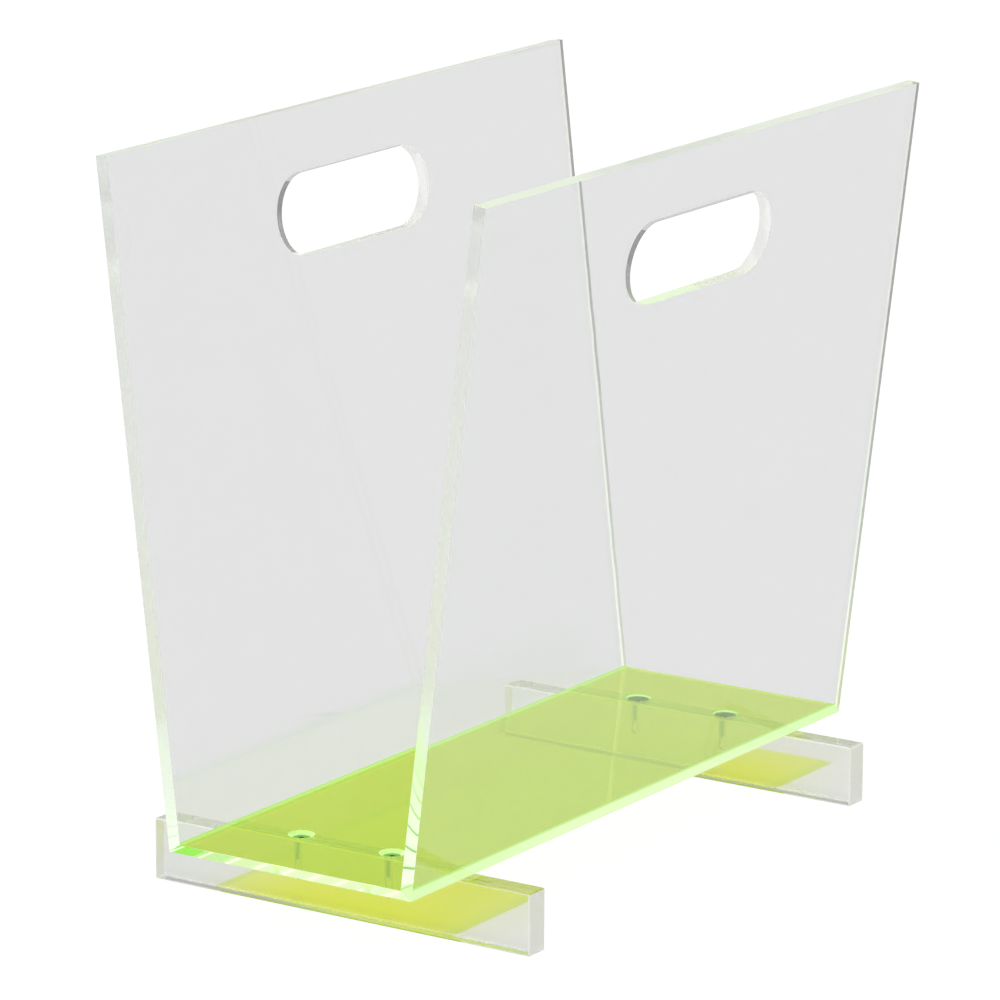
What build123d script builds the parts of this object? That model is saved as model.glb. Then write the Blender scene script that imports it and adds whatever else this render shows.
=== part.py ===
from build123d import *

import os
from math import cos, radians, sin, tan

# Magazine rack of acrylic sheet, in millimetres.
#
# Frame: X runs along the rack, Y across it, Z up.  The origin is on the surface that the
# feet stand on, under the middle of the rack.
#
# Two clear panels lean outwards from a fluorescent green base plate and are cemented to its
# bevelled long edges.  The plate rests across two clear bars, the feet, and each foot is
# held by two countersunk hexagon socket screws that go down through the plate.

# --- Driving dimensions ---------------------------------------------------------------

# Rack
rack_length = 356.0         # panels and base plate, along X
base_width = 127.0          # base plate across its underside
panel_slant = 305.0         # outer face of a panel, from the underside of the plate to the top
panel_lean = 6.8            # panel from the vertical, in degrees

# Sheets
base_sheet = 4.0
panel_sheet = 6.0

# Handle slot
slot_length = 115.0         # overall, round ends included
slot_height = 37.0
slot_below_top = 29.0       # upper edge of the slot below the top edge of the panel

# Feet
foot_thickness = 12.0       # along X
foot_length = 198.0         # along Y
foot_height = 28.0
foot_setback = 37.5         # outer side of a foot from the end of the rack
foot_edge_break = 0.8       # chamfer along every edge of a foot

# Screws, M4 x 12 with a countersunk head and a hexagon socket
screw_pitch = 48.0          # between the two screws of a foot
thread_diameter = 4.0
screw_length = 12.0         # overall, head included
head_diameter = 8.2
head_rim = 0.2              # straight rim above the cone of the head
head_angle = 90.0           # included angle of head and countersink, in degrees
socket_width = 2.5          # across the flats
socket_depth = 1.9
tip_chamfer = 0.5

# Holes
countersink_diameter = 11.8
hole_clearance = 0.4        # clearance hole in the plate over the thread diameter
thread_clearance = 0.1      # tapped hole in the foot over the thread diameter
tapped_depth = 15.0         # full diameter, below the top of the foot
drill_point_angle = 118.0   # included angle, in degrees

# --- Derived sizes --------------------------------------------------------------------

lean = radians(panel_lean)
plate_bottom = foot_height
plate_top = plate_bottom + base_sheet

# Where the inner face of a panel meets the top of the plate, from the middle of the rack
inner_foot_y = base_width / 2 + base_sheet * tan(lean) - panel_sheet / cos(lean)

slot_centre_slant = panel_slant - slot_below_top - slot_height / 2
foot_x = rack_length / 2 - foot_setback - foot_thickness / 2

cone_slope = tan(radians(head_angle / 2))
seat_depth = (countersink_diameter - head_diameter) / 2 / cone_slope
head_top = plate_top - seat_depth + head_rim
head_cone = (head_diameter - thread_diameter) / 2 / cone_slope
clearance_diameter = thread_diameter + hole_clearance
tapped_diameter = thread_diameter + thread_clearance
drill_point = tapped_diameter / 2 / tan(radians(drill_point_angle / 2))

screw_places = {
    "left_front_screw": (-foot_x, -screw_pitch / 2),
    "left_rear_screw": (-foot_x, screw_pitch / 2),
    "right_front_screw": (foot_x, -screw_pitch / 2),
    "right_rear_screw": (foot_x, screw_pitch / 2),
}

os.makedirs("parts", exist_ok=True)

# --- Base plate -----------------------------------------------------------------------
# The long edges are bevelled, so that each panel is cemented over the whole thickness of
# the plate and its outer face comes down to the underside of the plate.

with BuildPart() as base_plate:
    with BuildSketch(Plane.YZ):
        with BuildLine():
            Polyline(
                (-base_width / 2, plate_bottom),
                (base_width / 2, plate_bottom),
                (inner_foot_y, plate_top),
                (-inner_foot_y, plate_top),
                close=True,
            )
        make_face()
    extrude(amount=rack_length / 2, both=True)
    with Locations(*[(x, y, plate_top) for x, y in screw_places.values()]):
        CounterSinkHole(
            radius=clearance_diameter / 2,
            counter_sink_radius=countersink_diameter / 2,
            counter_sink_angle=head_angle,
        )

base_plate.part.label = "base_plate"
export_step(base_plate.part, "parts/base_plate.step")

# --- Panels ---------------------------------------------------------------------------
# side is -1 for the panel in front and 1 for the one behind.  The bottom edge is cut at a
# slant to sit on the bevel of the plate, and the top edge is square to the faces.

for name, side in {"front_panel": -1, "rear_panel": 1}.items():
    outer_foot = Vector(0, side * base_width / 2, plate_bottom)
    inner_foot = Vector(0, side * inner_foot_y, plate_top)
    up_slant = Vector(0, side * sin(lean), cos(lean))
    outward = Vector(0, side * cos(lean), -sin(lean))
    outer_top = outer_foot + up_slant * panel_slant
    inner_top = outer_top - outward * panel_sheet
    slot_centre = outer_foot + up_slant * slot_centre_slant

    with BuildPart() as panel:
        with BuildSketch(Plane.YZ):
            with BuildLine():
                Polyline(
                    *[(p.Y, p.Z) for p in (outer_foot, outer_top, inner_top, inner_foot)],
                    close=True,
                )
            make_face()
        extrude(amount=rack_length / 2, both=True)
        with BuildSketch(Plane(slot_centre, x_dir=(1, 0, 0), z_dir=outward)):
            SlotOverall(slot_length, slot_height)
        extrude(amount=-panel_sheet, mode=Mode.SUBTRACT)

    panel.part.label = name
    export_step(panel.part, f"parts/{name}.step")

# --- Feet -----------------------------------------------------------------------------
# A bar on edge, with two blind tapped holes in its top.

for name, x in {"left_foot": -foot_x, "right_foot": foot_x}.items():
    with BuildPart() as foot:
        with BuildSketch(Plane.XY):
            with Locations((x, 0)):
                Rectangle(foot_thickness, foot_length)
        extrude(amount=foot_height)
        chamfer(foot.edges(), foot_edge_break)
        with BuildSketch(Plane.XY.offset(foot_height)):
            with Locations((x, 0)):
                with GridLocations(0, screw_pitch, 1, 2):
                    Circle(tapped_diameter / 2)
        extrude(amount=-tapped_depth, mode=Mode.SUBTRACT)
        with Locations((x, 0, foot_height - tapped_depth)):
            with GridLocations(0, screw_pitch, 1, 2):
                Cone(
                    bottom_radius=0,
                    top_radius=tapped_diameter / 2,
                    height=drill_point,
                    align=(Align.CENTER, Align.CENTER, Align.MAX),
                    mode=Mode.SUBTRACT,
                )

    foot.part.label = name
    export_step(foot.part, f"parts/{name}.step")

# --- Screws ---------------------------------------------------------------------------
# The cone of the head seats on the countersink, below the top of the plate.

for name, (x, y) in screw_places.items():
    with BuildPart() as screw:
        with BuildSketch(Plane((x, y, head_top), x_dir=(1, 0, 0), z_dir=(0, -1, 0))):
            with BuildLine():
                Polyline(
                    (0, 0),
                    (head_diameter / 2, 0),
                    (head_diameter / 2, -head_rim),
                    (thread_diameter / 2, -head_rim - head_cone),
                    (thread_diameter / 2, -screw_length + tip_chamfer),
                    (thread_diameter / 2 - tip_chamfer, -screw_length),
                    (0, -screw_length),
                    close=True,
                )
            make_face()
        revolve(axis=Axis((x, y, head_top), (0, 0, 1)))
        with BuildSketch(Plane((x, y, head_top))):
            RegularPolygon(socket_width / 2, 6, major_radius=False)
        extrude(amount=-socket_depth, mode=Mode.SUBTRACT)

    screw.part.label = name
    export_step(screw.part, f"parts/{name}.step")
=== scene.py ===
"""Magazine rack of cemented acrylic sheet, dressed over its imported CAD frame.

Two clear panels lean outwards from a fluorescent green base plate.  The base plate lies across two clear
bars, the feet, and four countersunk hexagon socket screws hold it down to them.  Every size is in metres,
in the frame of the CAD model: X along the rack, Y across it and Z up from the surface it stands on.
"""

import logging
from contextlib import contextmanager
from dataclasses import dataclass, field
from enum import Enum
from math import asin, cos, pi, radians, sin, tan
from typing import Callable, Dict, Iterator, List, Optional, Sequence, Tuple, Union

import bpy
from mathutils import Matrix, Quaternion, Vector


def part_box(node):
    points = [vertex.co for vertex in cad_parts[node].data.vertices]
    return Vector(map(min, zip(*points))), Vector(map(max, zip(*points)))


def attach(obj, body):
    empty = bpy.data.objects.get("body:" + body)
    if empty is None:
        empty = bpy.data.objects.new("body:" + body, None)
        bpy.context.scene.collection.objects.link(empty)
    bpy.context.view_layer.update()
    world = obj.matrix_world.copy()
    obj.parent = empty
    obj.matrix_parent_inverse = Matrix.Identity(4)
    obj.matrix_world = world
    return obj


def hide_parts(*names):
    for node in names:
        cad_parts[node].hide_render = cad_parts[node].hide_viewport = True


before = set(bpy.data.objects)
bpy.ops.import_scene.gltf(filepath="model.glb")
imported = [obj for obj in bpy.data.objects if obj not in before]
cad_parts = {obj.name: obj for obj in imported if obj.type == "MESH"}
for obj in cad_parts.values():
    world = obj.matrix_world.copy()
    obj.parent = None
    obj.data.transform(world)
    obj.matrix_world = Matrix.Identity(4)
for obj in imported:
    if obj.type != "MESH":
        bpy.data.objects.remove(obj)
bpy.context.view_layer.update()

log = logging.getLogger("magazine_rack")

Colour = Tuple[float, float, float]
Place = Tuple[float, float, float]
Station = Tuple[float, float]
Stop = Tuple[float, Colour]
Socket = bpy.types.NodeSocket
Value = Union[float, Colour, Socket]
Feeds = Dict[Union[int, str], Value]
PointTest = Callable[[Vector], bool]
EdgeTest = Callable[[Vector, Vector], bool]
FaceTest = Callable[[Vector, Vector], bool]

EDGE_ANGLE = radians(30)
SMOOTH_ANGLE = radians(20)
HAIR = 1e-5
HEXAGON = 6
ACRYLIC_INDEX = 1.49

# Shares of a face's normal along a direction, from square to it down to just leaning that way.
SQUARE, FACING, STEEP, MOSTLY, PARTLY, TOWARDS, LEANING = 0.99, 0.9, 0.8, 0.6, 0.5, 0.3, 0.1

# Turns of the light: fewer than the first where a face is seen straight, more than the second where the
# sheets have led the light inside, and between the two where a face mirrors it.
SEEN_STRAIGHT, LED_INSIDE = 0.5, 1.5


class Slot(Enum):
    """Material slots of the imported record."""

    CLEAR = "clear_acrylic"
    FLUORESCENT = "fluorescent_acrylic"
    STEEL = "screw_steel"


class Side(Enum):
    """The two long sides of the rack, by the sign of Y."""

    FRONT = -1
    REAR = 1


class End(Enum):
    """The two ends of the rack, by the sign of X."""

    LEFT = -1
    RIGHT = 1


# --- Mesh work ------------------------------------------------------------------------------------------


def activate(piece: bpy.types.Object) -> None:
    """Makes a piece the only selected object, and the active one.

    Args:
        piece: The mesh object.
    """
    if bpy.context.object is not None and bpy.context.object.mode != "OBJECT":
        bpy.ops.object.mode_set(mode="OBJECT")
    bpy.ops.object.select_all(action="DESELECT")
    piece.select_set(True)
    bpy.context.view_layer.objects.active = piece


@contextmanager
def edit_mode(piece: bpy.types.Object, select: str = "SELECT") -> Iterator[None]:
    """Holds a piece in edit mode.

    Args:
        piece: The mesh object to edit.
        select: SELECT or DESELECT for all of it, or KEEP for what is flagged already.
    """
    activate(piece)
    bpy.ops.object.mode_set(mode="EDIT")
    if select != "KEEP":
        bpy.ops.mesh.select_all(action=select)
    yield
    bpy.ops.object.mode_set(mode="OBJECT")


def pick_faces(piece: bpy.types.Object, test: FaceTest) -> None:
    """Selects the faces that pass a test.

    Args:
        piece: The mesh object.
        test: Called with a face's centre and normal.
    """
    bpy.context.tool_settings.mesh_select_mode = (False, False, True)
    with edit_mode(piece, "DESELECT"):
        pass
    for face in piece.data.polygons:
        face.select = test(face.center, face.normal)


def pick_points(piece: bpy.types.Object, test: PointTest) -> None:
    """Selects the points of a mesh that pass a test.

    Args:
        piece: The mesh object.
        test: Called with a point's position.
    """
    bpy.context.tool_settings.mesh_select_mode = (True, False, False)
    with edit_mode(piece, "DESELECT"):
        pass
    for point in piece.data.vertices:
        point.select = test(point.co)


def pick_edges(piece: bpy.types.Object, test: EdgeTest) -> None:
    """Selects the sharp edges whose two ends pass a test.

    Args:
        piece: The mesh object.
        test: Called with the positions of an edge's two ends.
    """
    bpy.context.tool_settings.mesh_select_mode = (False, True, False)
    with edit_mode(piece, "DESELECT"):
        bpy.ops.mesh.edges_select_sharp(sharpness=EDGE_ANGLE)
    points = piece.data.vertices
    for edge in piece.data.edges:
        if edge.select and not test(points[edge.vertices[0]].co, points[edge.vertices[1]].co):
            edge.select = False


def add_block(name: str, low: Vector, high: Vector) -> bpy.types.Object:
    """Adds a rectangular block between two corners.

    Args:
        name: Name of the object and its mesh.
        low: Lowest corner.
        high: Highest corner.

    Returns:
        The block, with its place in its mesh.
    """
    bpy.ops.object.select_all(action="DESELECT")
    bpy.ops.mesh.primitive_cube_add(size=1.0, location=(0, 0, 0))
    block = bpy.context.object
    block.name = block.data.name = name
    with edit_mode(block):
        bpy.ops.transform.resize(value=tuple(high - low), center_override=(0, 0, 0))
        bpy.ops.transform.translate(value=tuple((low + high) / 2))
    return block


def add_turned(name: str, axis: Vector, stations: Sequence[Station], sides: int) -> bpy.types.Object:
    """Adds a closed solid of revolution about an upright axis, extruded from station to station.

    Args:
        name: Name of the object and its mesh.
        axis: A point on the axis, of which the height is ignored.
        stations: Pairs of radius and height, from one end to the other.
        sides: Sides of the circle.

    Returns:
        The solid, with its place in its mesh.
    """
    bpy.ops.object.select_all(action="DESELECT")
    radius, height = stations[0]
    bpy.ops.mesh.primitive_circle_add(vertices=sides, radius=radius, fill_type="NGON", location=(0, 0, 0))
    solid = bpy.context.object
    solid.name = solid.data.name = name
    with edit_mode(solid):
        bpy.ops.transform.translate(value=(axis.x, axis.y, height))
        for next_radius, next_height in stations[1:]:
            bpy.ops.mesh.extrude_region_move(TRANSFORM_OT_translate={"value": (0, 0, next_height - height)})
            ratio = next_radius / radius
            bpy.ops.transform.resize(value=(ratio, ratio, 1), center_override=(axis.x, axis.y, next_height))
            radius, height = next_radius, next_height
        bpy.ops.mesh.select_all(action="SELECT")
        bpy.ops.mesh.normals_make_consistent(inside=False)
    return solid


def cut(piece: bpy.types.Object, cutter: bpy.types.Object) -> None:
    """Takes one solid out of another, and removes the cutter.

    Args:
        piece: The mesh object that is cut.
        cutter: The mesh object that is taken out of it.
    """
    activate(piece)
    bpy.ops.object.modifier_add(type="BOOLEAN")
    modifier = piece.modifiers[-1]
    modifier.operation, modifier.solver, modifier.object = "DIFFERENCE", "EXACT", cutter
    bpy.ops.object.modifier_apply(modifier=modifier.name)
    bpy.data.objects.remove(cutter, do_unlink=True)


def break_edges(piece: bpy.types.Object, width: float, test: EdgeTest, segments: int = 1) -> None:
    """Breaks the sharp edges whose ends pass a test.

    Args:
        piece: The mesh object.
        width: Width of the break, measured along each face.
        test: Called with the positions of an edge's two ends.
        segments: One makes a flat chamfer, and more make a round edge.
    """
    pick_edges(piece, test)
    with edit_mode(piece, "KEEP"):
        bpy.ops.mesh.bevel(offset=width, offset_type="OFFSET", segments=segments, affect="EDGES",
                           clamp_overlap=True)


def crown_ends(sheet: bpy.types.Object, crown: float, rows: int = 8) -> None:
    """Rounds the two end faces of an upright block slightly over its thickness, as flame polishing does.

    Args:
        sheet: A block with its thickness along Y.
        crown: How far the middle of an end face stands above its edges.
        rows: Strips across the thickness.
    """
    points = [point.co for point in sheet.data.vertices]
    half = max(point.x for point in points)
    low, high = min(point.y for point in points), max(point.y for point in points)
    pick_edges(sheet, lambda a, b: abs(a.y - b.y) > (high - low) / 2)
    with edit_mode(sheet, "KEEP"):
        bpy.ops.mesh.subdivide(number_cuts=rows - 1)
    for row in range(rows // 2):
        away = (high - low) / 2 * (1 - 2 * row / rows)
        pick_points(sheet, lambda point: abs(abs(point.y - (low + high) / 2) - away) < HAIR)
        with edit_mode(sheet, "KEEP"):
            share = 1 - crown * (1 - 2 * row / rows) ** 2 / half
            bpy.ops.transform.resize(value=(share, 1, 1), center_override=(0, 0, 0))


def moved_copy(piece: bpy.types.Object, name: str, step: Vector) -> bpy.types.Object:
    """Copies a piece with a mesh of its own, and moves that mesh.

    Args:
        piece: The mesh object to copy.
        name: Name of the copy and its mesh.
        step: How far the copy's mesh is moved.

    Returns:
        The copy.
    """
    activate(piece)
    bpy.ops.object.duplicate(linked=False)
    twin = bpy.context.object
    twin.name = twin.data.name = name
    with edit_mode(twin):
        bpy.ops.transform.translate(value=tuple(step))
    return twin


def smooth(piece: bpy.types.Object) -> None:
    """Shades the round walls smooth, and keeps every real edge sharp and every flat face flat.

    Args:
        piece: The mesh object.
    """
    activate(piece)
    bpy.ops.object.shade_smooth_by_angle(angle=SMOOTH_ANGLE)
    bpy.ops.object.modifier_add(type="WEIGHTED_NORMAL")
    modifier = piece.modifiers[-1]
    modifier.keep_sharp, modifier.weight, modifier.mode = True, 100, "FACE_AREA"
    bpy.ops.object.modifier_apply(modifier=modifier.name)


# --- Shader work ----------------------------------------------------------------------------------------


class Graph:
    """A node tree with short calls that add and join its nodes.

    Attributes:
        tree: The node tree.
    """

    def __init__(self, tree: bpy.types.NodeTree) -> None:
        """Starts from an empty tree."""
        self.tree = tree
        tree.nodes.clear()

    def add(self, kind: str, label: str = "", feeds: Optional[Feeds] = None,
            **settings: object) -> bpy.types.Node:
        """Adds a node.

        Args:
            kind: Blender's name for the node type, without ShaderNode in front.
            label: What the node is for.
            feeds: What its inputs take, by name or number.  A colour is given without alpha.
            **settings: Properties of the node.

        Returns:
            The new node.
        """
        node = self.tree.nodes.new(f"ShaderNode{kind}")
        node.label = label
        for key, value in settings.items():
            setattr(node, key, value)
        for key, value in (feeds or {}).items():
            self.feed(node.inputs[key], value)
        return node

    def feed(self, socket: Socket, value: Value) -> None:
        """Links an output to an input, or gives the input a value of its own.

        Args:
            socket: The input.
            value: The output or the value.
        """
        if isinstance(value, Socket):
            self.tree.links.new(value, socket)
        else:
            socket.default_value = (*value, 1) if socket.type == "RGBA" else value

    def maths(self, operation: str, first: Value, second: Value = 0.0, clamp: bool = False) -> Socket:
        """Adds a Math node and returns its output."""
        node = self.add("Math", "", {0: first, 1: second}, operation=operation, use_clamp=clamp)
        return node.outputs["Value"]

    def vectors(self, operation: str, label: str, *values: Value) -> Socket:
        """Adds a Vector Math node and returns its output."""
        return self.add("VectorMath", label, dict(enumerate(values)), operation=operation).outputs["Vector"]

    def scaled(self, label: str, vector: Value, scale: Value) -> Socket:
        """Adds a scaled vector or colour and returns it."""
        node = self.add("VectorMath", label, {0: vector, "Scale": scale}, operation="SCALE")
        return node.outputs["Vector"]

    def mix(self, share: Value, first: Value, second: Value, label: str = "") -> Socket:
        """Adds a mix of two colours and returns it.  Its sockets go by number, as their names repeat."""
        return self.add("Mix", label, {0: share, 6: first, 7: second}, data_type="RGBA").outputs[2]

    def mix_shaders(self, share: Socket, first: Socket, second: Socket) -> Socket:
        """Adds a mix of two shaders and returns its output."""
        return self.add("MixShader", "", {0: share, 1: first, 2: second}).outputs["Shader"]

    def place(self) -> Socket:
        """Returns the place of the shaded point, in the object's own frame."""
        return self.add("TexCoord").outputs["Object"]

    def along(self, axis: str) -> Socket:
        """Returns the place of the shaded point along one axis of that frame."""
        return self.add("SeparateXYZ", "", {"Vector": self.place()}).outputs[axis]

    def turns(self) -> Socket:
        """Returns the number of faces that have mirrored the light, or turned it back inside, so far."""
        return self.add("LightPath").outputs["Glossy Depth"]

    def noise(self, label: str, scale: Value, detail: float, place: Socket) -> Socket:
        """Adds a noise texture and returns its factor."""
        return self.add("TexNoise", label, {"Scale": scale, "Detail": detail, "Vector": place}).outputs["Fac"]

    def bump(self, label: str, distance: float, height: Socket) -> Socket:
        """Adds a bump and returns its normal."""
        return self.add("Bump", label, {"Distance": distance, "Height": height}).outputs["Normal"]

    def ramp(self, label: str, value: Socket, stops: Sequence[Stop]) -> Socket:
        """Adds a ramp of colours.

        Args:
            label: What the ramp is for.
            value: What runs along the ramp.
            stops: Pairs of value and colour, in rising order.

        Returns:
            The colour.
        """
        last = stops[-1][0]
        node = self.add("ValToRGB", label, {"Fac": self.maths("DIVIDE", value, last)})
        marks = node.color_ramp.elements
        marks.remove(marks[0])
        for number, (level, colour) in enumerate(stops):
            mark = marks[0] if number == 0 else marks.new(level / last)
            mark.position, mark.color = level / last, (*colour, 1)
        return node.outputs["Color"]


class SharedGroup:
    """A node group that is made once and found by its name after that.

    Attributes:
        name: Name of the group.
        takes: Kind of each input, by name.
        gives: Kind of each output, by name.
    """

    name: str
    takes: Dict[str, str]
    gives: Dict[str, str]

    def fill(self, graph: Graph, inputs: bpy.types.NodeOutputs) -> Dict[str, Socket]:
        """Adds the nodes of the group.

        Args:
            graph: The group's graph.
            inputs: What the group takes.

        Returns:
            What the group gives, by name.
        """
        raise NotImplementedError

    def tree(self) -> bpy.types.NodeTree:
        """Makes the group, or finds it.

        Returns:
            The group's node tree.
        """
        if self.name in bpy.data.node_groups:
            return bpy.data.node_groups[self.name]
        tree = bpy.data.node_groups.new(self.name, "ShaderNodeTree")
        for way, sockets in (("INPUT", self.takes), ("OUTPUT", self.gives)):
            for name, kind in sockets.items():
                tree.interface.new_socket(name=name, in_out=way, socket_type=f"NodeSocket{kind}")
        graph = Graph(tree)
        inputs, outputs = tree.nodes.new("NodeGroupInput"), tree.nodes.new("NodeGroupOutput")
        for name, value in self.fill(graph, inputs.outputs).items():
            graph.feed(outputs.inputs[name], value)
        return tree

    def use(self, graph: Graph, feeds: Feeds) -> bpy.types.NodeOutputs:
        """Places the group in a graph and returns its outputs."""
        return graph.add("Group", self.name, feeds, node_tree=self.tree()).outputs


@dataclass(frozen=True)
class HandlingMarks(SharedGroup):
    """The faint wipe marks and slight waviness that a sheet carries.

    Attributes:
        stretch: Scale of the wipe marks along the three axes.
        scale: Scale of the wipe marks on the whole.
        detail: Detail of the wipe marks.
        strongest: Range of the noise that shows as marks.
        wave_detail: Detail of the waves.
    """

    name = "handling_marks"
    takes = {"Roughness": "Float", "Wipe": "Float", "Wave Scale": "Float"}
    gives = {"Roughness": "Float", "Height": "Float"}
    stretch: Tuple[float, float, float] = (1.0, 4.0, 4.0)
    scale: float = 26.0
    detail: float = 6.0
    strongest: Tuple[float, float] = (0.48, 0.8)
    wave_detail: float = 1.0

    def fill(self, graph: Graph, inputs: bpy.types.NodeOutputs) -> Dict[str, Socket]:
        """Adds the roughness with its wipe marks, and the height of the waves.

        Args:
            graph: The group's graph.
            inputs: What the group takes.

        Returns:
            What the group gives, by name.
        """
        place = graph.place()
        along = graph.add("Mapping", "wipes run along the sheet", {"Vector": place, "Scale": self.stretch})
        wipes = graph.noise("wipe marks", self.scale, self.detail, along.outputs["Vector"])
        mask = graph.add("MapRange", "only the strongest marks",
                         {"Value": wipes, "From Min": self.strongest[0], "From Max": self.strongest[1]})
        amount = graph.maths("MULTIPLY", mask.outputs["Result"], inputs["Wipe"])
        waves = graph.noise("waviness of the sheet", inputs["Wave Scale"], self.wave_detail, place)
        return {"Roughness": graph.maths("ADD", amount, inputs["Roughness"]), "Height": waves}


@dataclass(frozen=True)
class LengthwiseGlow(SharedGroup):
    """A colour that changes with the distance from the nearer end of the rack.

    Attributes:
        half_length: Half the length of the rack.
        scale: Scale of the uneven patches.
        detail: Detail of the patches.
    """

    name = "lengthwise_glow"
    takes = {"End Color": "Color", "Middle Color": "Color", "Reach": "Float", "Unevenness": "Float"}
    gives = {"Color": "Color"}
    half_length: float = 0.178
    scale: float = 55.0
    detail: float = 3.0

    def fill(self, graph: Graph, inputs: bpy.types.NodeOutputs) -> Dict[str, Socket]:
        """Adds the blend from the colour at the ends to the one in the middle.

        Args:
            graph: The group's graph.
            inputs: What the group takes.

        Returns:
            What the group gives, by name.
        """
        inset = graph.maths("SUBTRACT", self.half_length, graph.maths("ABSOLUTE", graph.along("X")))
        share = graph.maths("DIVIDE", inset, inputs["Reach"], clamp=True)
        patches = graph.noise("patches in the cement", self.scale, self.detail, graph.place())
        swing = graph.maths("MULTIPLY", graph.maths("SUBTRACT", patches, 0.5), inputs["Unevenness"])
        blend = graph.mix(graph.maths("ADD", share, swing), inputs["End Color"], inputs["Middle Color"])
        return {"Color": blend}


class Finish:
    """A finish that is made as a material once and found by its name after that.

    Attributes:
        name: Name of the material.
        lamp_tint: Share of lamp light that passes one surface.
    """

    name: str
    lamp_tint: Colour

    def surface(self, graph: Graph) -> Socket:
        """Adds the nodes of the surface.

        Args:
            graph: The material's graph.

        Returns:
            The shader.
        """
        raise NotImplementedError

    def build(self) -> bpy.types.Material:
        """Makes the material, or finds it.  Lamp light and light off matt faces pass it with a tint.

        Returns:
            The material.
        """
        if self.name in bpy.data.materials:
            return bpy.data.materials[self.name]
        material = bpy.data.materials.new(self.name)
        material.use_nodes = True
        graph = Graph(material.node_tree)
        path = graph.add("LightPath").outputs
        clear = graph.add("BsdfTransparent", "what light takes on its way through", {"Color": self.lamp_tint})
        bounced = graph.mix_shaders(path["Is Diffuse Ray"], self.surface(graph), clear.outputs["BSDF"])
        shown = graph.mix_shaders(path["Is Shadow Ray"], bounced, clear.outputs["BSDF"])
        graph.add("OutputMaterial", "", {"Surface": shown})
        return material


@dataclass(frozen=True)
class Marks:
    """How worn an acrylic surface is.

    Attributes:
        roughness: Roughness on the whole, as sanding leaves it.
        wipe: Strength of the wipe marks.
        wave_scale: Scale of the waves or the grain.
        wave: Height of the waves or the grain, or zero for a flat surface.
    """

    roughness: float = 0.0
    wipe: float = 0.006
    wave_scale: float = 30.0
    wave: float = 0.00002


def acrylic(graph: Graph, marks: Marks, colour: Value, clearness: float, glow: Value,
            roughness: Optional[Socket] = None) -> Socket:
    """Adds the shader of acrylic that carries handling marks.

    Args:
        graph: The material's graph.
        marks: How worn the surface is.
        colour: Base colour of the shader.
        clearness: Share of the light that goes through.
        glow: Light that the surface adds.
        roughness: Roughness in place of the one in the marks, where it isn't even.

    Returns:
        The shader.
    """
    worn = HandlingMarks().use(graph, {"Roughness": roughness or marks.roughness, "Wipe": marks.wipe,
                                       "Wave Scale": marks.wave_scale})
    feeds: Feeds = {"Base Color": colour, "Roughness": worn["Roughness"], "IOR": ACRYLIC_INDEX,
                    "Transmission Weight": clearness, "Emission Color": glow, "Emission Strength": 1.0}
    if marks.wave:
        feeds["Normal"] = graph.bump("waves or grain", marks.wave, worn["Height"])
    return graph.add("BsdfPrincipled", "", feeds).outputs["BSDF"]


@dataclass(frozen=True)
class ClearAcrylic(Finish):
    """Colourless cast acrylic with polished faces and edges.

    Attributes:
        colour: Colour of light that goes in and out again.
        marks: How worn the surface is.
        sands_in: Heights between which the sanding sets in, where it isn't even.
        lift: Painted light that is added where the surface is seen straight.
        turns: Number of turns after which light counts as caught.
        painted_glow: Brightness of the painted glow where light is caught inside.
    """

    name: str = "clear_cast_acrylic"
    colour: Colour = (0.985, 0.992, 0.986)
    marks: Marks = Marks()
    sands_in: Optional[Tuple[float, float]] = None
    lift: Colour = (0.0, 0.0, 0.0)
    turns: float = 55.0
    painted_glow: float = 0.080
    lamp_tint: Colour = (0.97, 0.975, 0.97)

    def surface(self, graph: Graph) -> Socket:
        """Adds a polished or sanded surface, with a painted glow where light is caught inside.

        Args:
            graph: The material's graph.

        Returns:
            The shader.
        """
        sanding: Optional[Socket] = None
        if self.sands_in:
            height: Feeds = {"Value": graph.along("Z"), "From Min": self.sands_in[0],
                             "From Max": self.sands_in[1], "To Max": self.marks.roughness}
            sanding = graph.add("MapRange", "sanding sets in with height", height).outputs["Result"]
        # Painted glow where the light is caught inside after many turns.
        caught = graph.scaled("haze that shows where light is caught", (self.painted_glow,) * 3,
                              graph.maths("GREATER_THAN", graph.turns(), self.turns))
        seen = graph.vectors("MULTIPLY_ADD", "paler where it is seen straight",
                             graph.maths("LESS_THAN", graph.turns(), SEEN_STRAIGHT), self.lift, caught)
        return acrylic(graph, self.marks, self.colour, 1.0, seen, sanding)


@dataclass(frozen=True)
class SawnAcrylic(Finish):
    """Acrylic with a fine matt surface, as a saw and a light sanding leave it.

    Attributes:
        colour: Colour of the surface.
        painted_glow: Painted light that the surface adds.
        clearness: Share of the light that goes through.
        marks: How worn the surface is.
    """

    name: str = "clear_acrylic_matt"
    colour: Colour = (0.93, 0.93, 0.93)
    painted_glow: Colour = (0.045, 0.045, 0.045)
    clearness: float = 0.30
    marks: Marks = Marks(0.30, 0.1, 900.0, 0.00003)
    lamp_tint: Colour = (0.95, 0.96, 0.95)

    def surface(self, graph: Graph) -> Socket:
        """Adds a matt surface that lets a part of the light through."""
        return acrylic(graph, self.marks, self.colour, self.clearness, self.painted_glow)


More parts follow.
